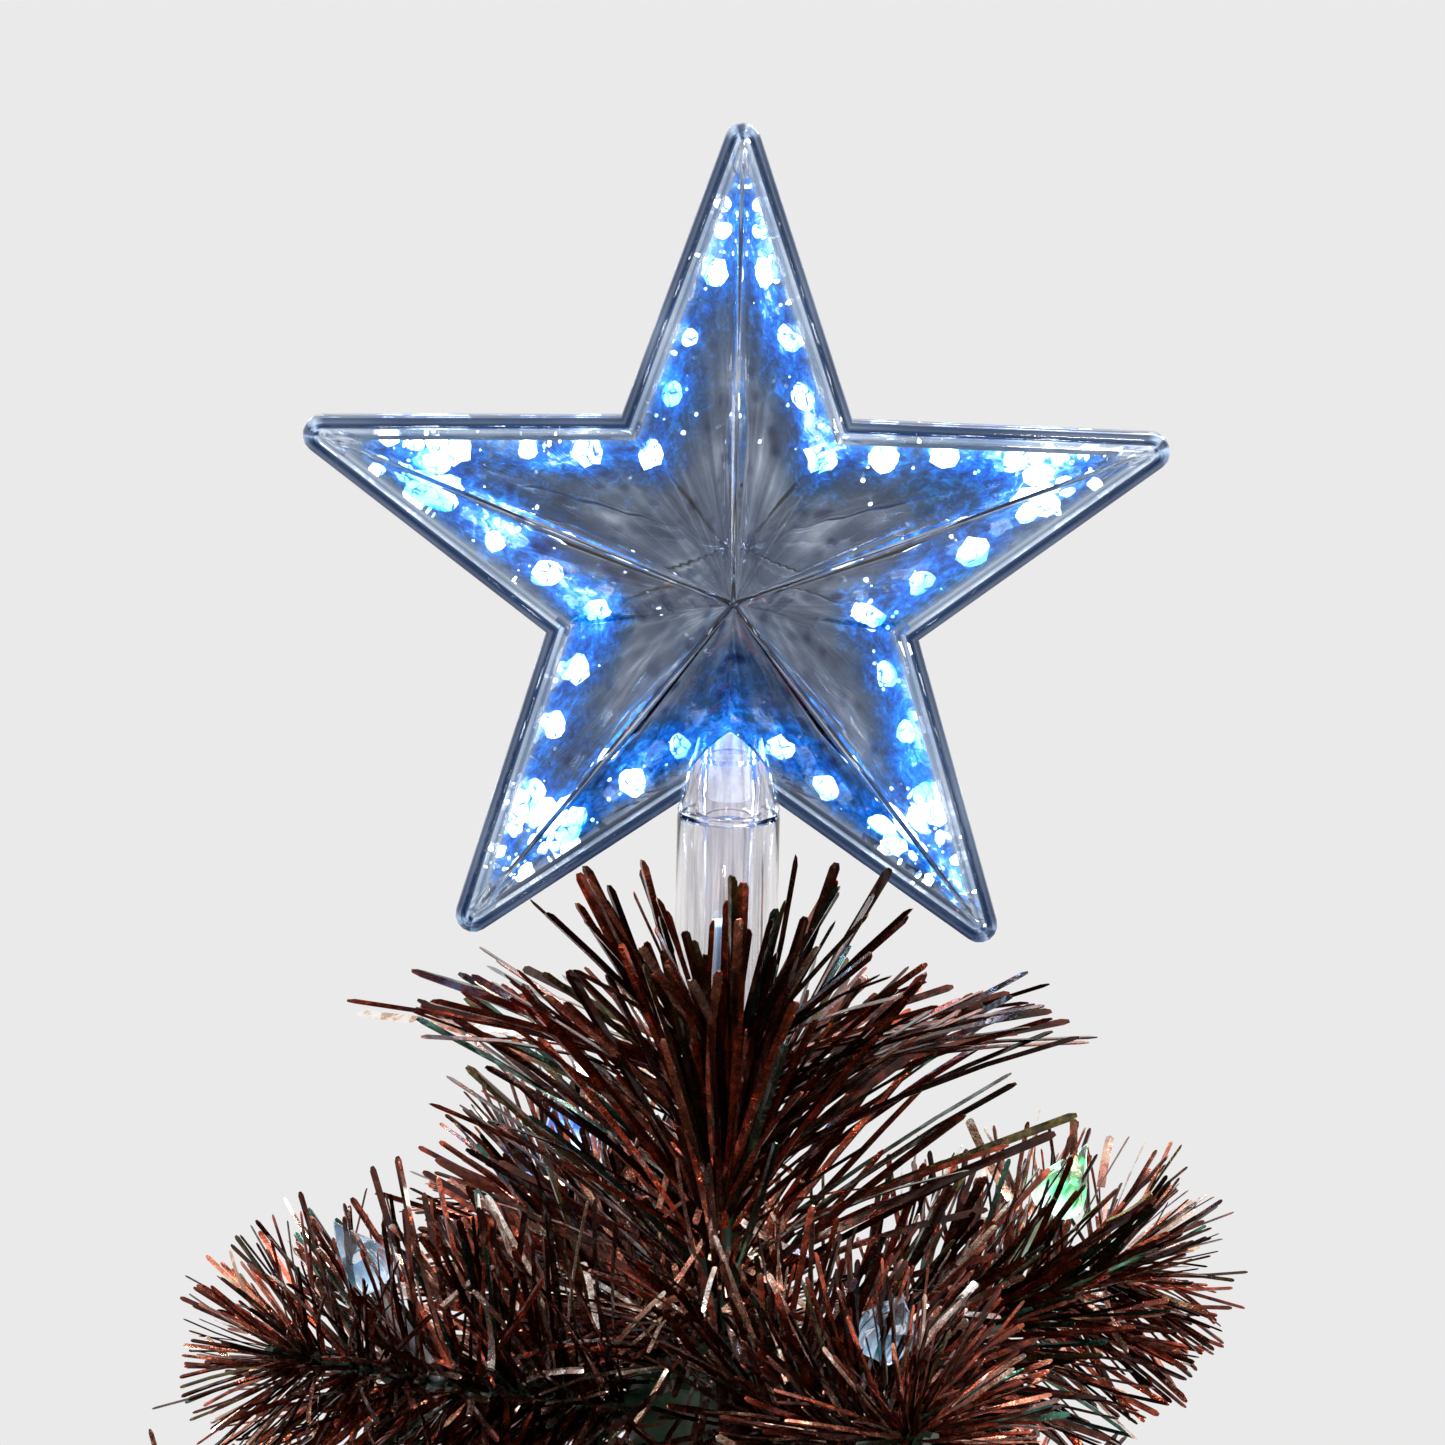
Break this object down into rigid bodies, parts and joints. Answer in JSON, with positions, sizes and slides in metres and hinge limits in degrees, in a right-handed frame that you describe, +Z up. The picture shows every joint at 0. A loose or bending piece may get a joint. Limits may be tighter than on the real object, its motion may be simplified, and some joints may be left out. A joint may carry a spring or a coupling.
{
  "type": "fiber optic christmas tree",
  "caption": "Table-top fibre optic Christmas tree: lit clear star, copper foil branches in tiers, trunk with a fibre bundle, round base with lamp and turning colour wheel.",
  "frame": {"origin": "on the floor, on the trunk's axis, at the bottom centre of the bounding box", "axes": "+Z up along the trunk; the star faces -Y; the switch and the inlet are at +Y"},
  "size_m": [0.386, 0.386, 0.6395],
  "materials": {
    "base_plastic": "semi-gloss moulded",
    "dark_plastic": "satin moulded",
    "green_plastic": "satin tube and tape",
    "rubber": "matte",
    "steel": "plain",
    "bright_metal": "polished",
    "ceramic": "unglazed",
    "lamp_glass": "clear",
    "fibre": "polished ends",
    "filter_red": "tinted",
    "filter_blue": "tinted",
    "filter_green": "tinted",
    "filter_amber": "tinted",
    "copper_foil": "metallised foil",
    "bronze_foil": "metallised foil",
    "clear_plastic": "clear, polished",
    "frosted_plastic": "frosted"
  },
  "bodies": {
    "base": {"base_shell": "base_plastic", "base_plate": "dark_plastic", "foot_1": "rubber", "foot_2": "rubber", "foot_3": "rubber", "foot_4": "rubber", "chassis": "steel", "lamp_holder": "ceramic", "reflector": "bright_metal", "lamp": "lamp_glass", "motor": "steel", "switch_bezel": "dark_plastic", "power_inlet": "dark_plastic"},
    "colour_wheel": {"motor_shaft": "steel", "wheel_frame": "dark_plastic", "filter_red": "filter_red", "filter_blue": "filter_blue", "filter_green": "filter_green", "filter_amber": "filter_amber", "wheel_clip": "steel"},
    "switch": {"switch_rocker": "dark_plastic"},
    "tree": {"trunk_tube": "green_plastic", "ferrule": "bright_metal", "fibre_bundle": "fibre", "tier_collar_1": "green_plastic", "tier_collar_2": "green_plastic", "tier_collar_3": "green_plastic", "tier_collar_4": "green_plastic", "tier_collar_5": "green_plastic", "leader": "bronze_foil", "leader_collar": "dark_plastic", "branch_1_1": "copper_foil", "branch_1_2": "copper_foil", "branch_1_3": "copper_foil", "branch_1_4": "copper_foil", "branch_2_1": "bronze_foil", "branch_2_2": "bronze_foil", "branch_2_3": "bronze_foil", "branch_2_4": "bronze_foil", "branch_3_1": "copper_foil", "branch_3_2": "copper_foil", "branch_3_3": "copper_foil", "branch_3_4": "copper_foil", "branch_4_1": "bronze_foil", "branch_4_2": "bronze_foil", "branch_4_3": "bronze_foil", "branch_4_4": "bronze_foil", "branch_5_1": "copper_foil", "branch_5_2": "copper_foil", "branch_5_3": "copper_foil", "branch_5_4": "copper_foil", "tip_cap_1": "clear_plastic", "tip_cap_2": "clear_plastic", "tip_cap_3": "clear_plastic", "tip_cap_4": "clear_plastic"},
    "star": {"star_front": "clear_plastic", "star_back": "clear_plastic", "star_socket": "clear_plastic", "star_diffuser": "frosted_plastic"}
  },
  "joints": [
    {"name": "wheel_spin", "type": "hinge", "parent": "base", "child": "colour_wheel", "pos_m": [0, 0.024, 0.05], "axis": [0, 0, 1], "continuous": true},
    {"name": "switch_rock", "type": "hinge", "parent": "base", "child": "switch", "pos_m": [0, 0.075, 0.0145], "axis": [1, 0, 0], "range_deg": [-16, 0]},
    {"name": "trunk_lift", "type": "slide", "parent": "base", "child": "tree", "axis": [0, 0, 1], "range_m": [0, 0.045]},
    {"name": "star_lift", "type": "slide", "parent": "tree", "child": "star", "axis": [0, 0, 1], "range_m": [0, 0.03]}
  ]
}
